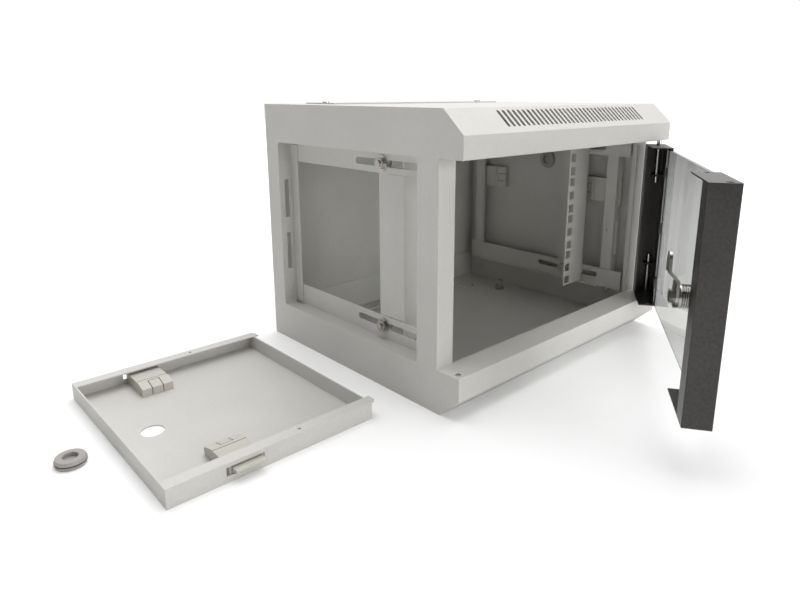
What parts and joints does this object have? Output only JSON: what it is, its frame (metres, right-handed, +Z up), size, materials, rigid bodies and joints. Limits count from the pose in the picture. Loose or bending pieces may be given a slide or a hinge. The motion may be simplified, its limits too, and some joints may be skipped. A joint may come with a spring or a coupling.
{
  "type": "wall mount network cabinet",
  "caption": "Small ten inch wall mount network cabinet with an open glass door, adjustable rack rails and one side panel taken off and laid beside it.",
  "frame": {"origin": "middle of the foot strip folded in the base behind the front, in the plane that the cabinet stands on", "axes": "+X to the right seen from the front, +Y towards the wall, +Z up"},
  "size_m": [0.6081, 0.4665, 0.2626],
  "materials": {
    "grey_paint": "fine textured powder coat",
    "dark_paint": "fine textured dark powder coat",
    "zinc_steel": "zinc plated",
    "glass": "clear float glass",
    "latch_plastic": "moulded",
    "grommet_rubber": "moulded",
    "washer_plastic": "moulded"
  },
  "bodies": {
    "casing": {"top_panel": "grey_paint", "bottom_panel": "grey_paint", "rear_panel": "grey_paint", "left_side_frame": "grey_paint", "right_side_frame": "grey_paint", "top_entry_cover": "grey_paint", "bottom_entry_cover": "grey_paint", "top_cover_screws": "zinc_steel", "bottom_cover_screws": "zinc_steel", "upper_left_bar": "grey_paint", "lower_left_bar": "grey_paint", "upper_right_bar": "grey_paint", "lower_right_bar": "grey_paint", "earth_stud": "zinc_steel", "earth_washer": "zinc_steel", "earth_nut": "zinc_steel", "right_side_panel": "grey_paint", "right_panel_latch_housings": "latch_plastic", "right_panel_grommet": "grommet_rubber", "hinge_washer": "washer_plastic"},
    "left_rail_set": {"left_rail": "grey_paint", "left_rail_bolts": "zinc_steel", "left_rail_nuts": "zinc_steel"},
    "right_rail_set": {"right_rail": "grey_paint", "right_rail_bolts": "zinc_steel", "right_rail_nuts": "zinc_steel"},
    "right_panel_front_tongue": {"right_panel_front_latch": "latch_plastic"},
    "right_panel_rear_tongue": {"right_panel_rear_latch": "latch_plastic"},
    "left_panel_set": {"left_side_panel": "grey_paint", "left_panel_latch_housings": "latch_plastic"},
    "left_panel_front_tongue": {"left_panel_front_latch": "latch_plastic"},
    "left_panel_rear_tongue": {"left_panel_rear_latch": "latch_plastic"},
    "grommet_set": {"loose_grommet": "grommet_rubber"},
    "door": {"door_hinge_profile": "dark_paint", "door_lock_profile": "dark_paint", "door_glass": "glass", "hinge_side_glass_clips": "dark_paint", "lock_side_glass_clips": "zinc_steel", "hinge_pin_guides": "dark_paint", "lock_barrel": "zinc_steel", "lock_nut": "zinc_steel", "upper_pin_spring": "zinc_steel", "lower_pin_spring": "zinc_steel"},
    "upper_pin": {"upper_hinge_pin": "zinc_steel"},
    "lower_pin": {"lower_hinge_pin": "zinc_steel"},
    "lock_core": {"lock_plug": "zinc_steel", "lock_cam": "zinc_steel", "cam_screw": "zinc_steel"}
  },
  "joints": [
    {"name": "door_hinge", "type": "hinge", "parent": "casing", "child": "door", "pos_m": [0.163, -0.0237, 0.13], "axis": [0, 0, 1], "range_deg": [-33.5, 146.5]},
    {"name": "upper_pin_slide", "type": "slide", "parent": "door", "child": "upper_pin", "axis": [0, 0, -1], "range_m": [0, 0.008], "stiffness_N_per_m": 800, "springref_m": -0.006, "deforming": ["upper_pin_spring"]},
    {"name": "lower_pin_slide", "type": "slide", "parent": "door", "child": "lower_pin", "axis": [0, 0, 1], "range_m": [0, 0.008], "stiffness_N_per_m": 800, "springref_m": -0.006, "deforming": ["lower_pin_spring"]},
    {"name": "lock_turn", "type": "hinge", "parent": "door", "child": "lock_core", "pos_m": [-0.0758, -0.19015, 0.1295], "axis": [0.5519, -0.8339, 0], "range_deg": [0, 90]},
    {"name": "left_rail_depth", "type": "slide", "parent": "casing", "child": "left_rail_set", "axis": [0, 1, 0], "range_m": [0, 0.036]},
    {"name": "right_rail_depth", "type": "slide", "parent": "casing", "child": "right_rail_set", "axis": [0, 1, 0], "range_m": [0, 0.036]},
    {"name": "right_panel_front_latch", "type": "slide", "parent": "casing", "child": "right_panel_front_tongue", "axis": [0, 1, 0], "range_m": [0, 0.006], "stiffness_N_per_m": 300, "springref_m": -0.003},
    {"name": "right_panel_rear_latch", "type": "slide", "parent": "casing", "child": "right_panel_rear_tongue", "axis": [0, -1, 0], "range_m": [0, 0.006], "stiffness_N_per_m": 300, "springref_m": -0.003},
    {"name": "left_panel_lift", "type": "slide", "parent": "casing", "child": "left_panel_set", "axis": [0, 0, 1], "range_m": [0, 0.15]},
    {"name": "left_panel_front_latch", "type": "slide", "parent": "left_panel_set", "child": "left_panel_front_tongue", "axis": [0, 1, 0], "range_m": [0, 0.006], "stiffness_N_per_m": 300, "springref_m": -0.003},
    {"name": "left_panel_rear_latch", "type": "slide", "parent": "left_panel_set", "child": "left_panel_rear_tongue", "axis": [0, -1, 0], "range_m": [0, 0.006], "stiffness_N_per_m": 300, "springref_m": -0.003},
    {"name": "grommet_lift", "type": "slide", "parent": "casing", "child": "grommet_set", "axis": [0, 0, 1], "range_m": [0, 0.05]}
  ]
}
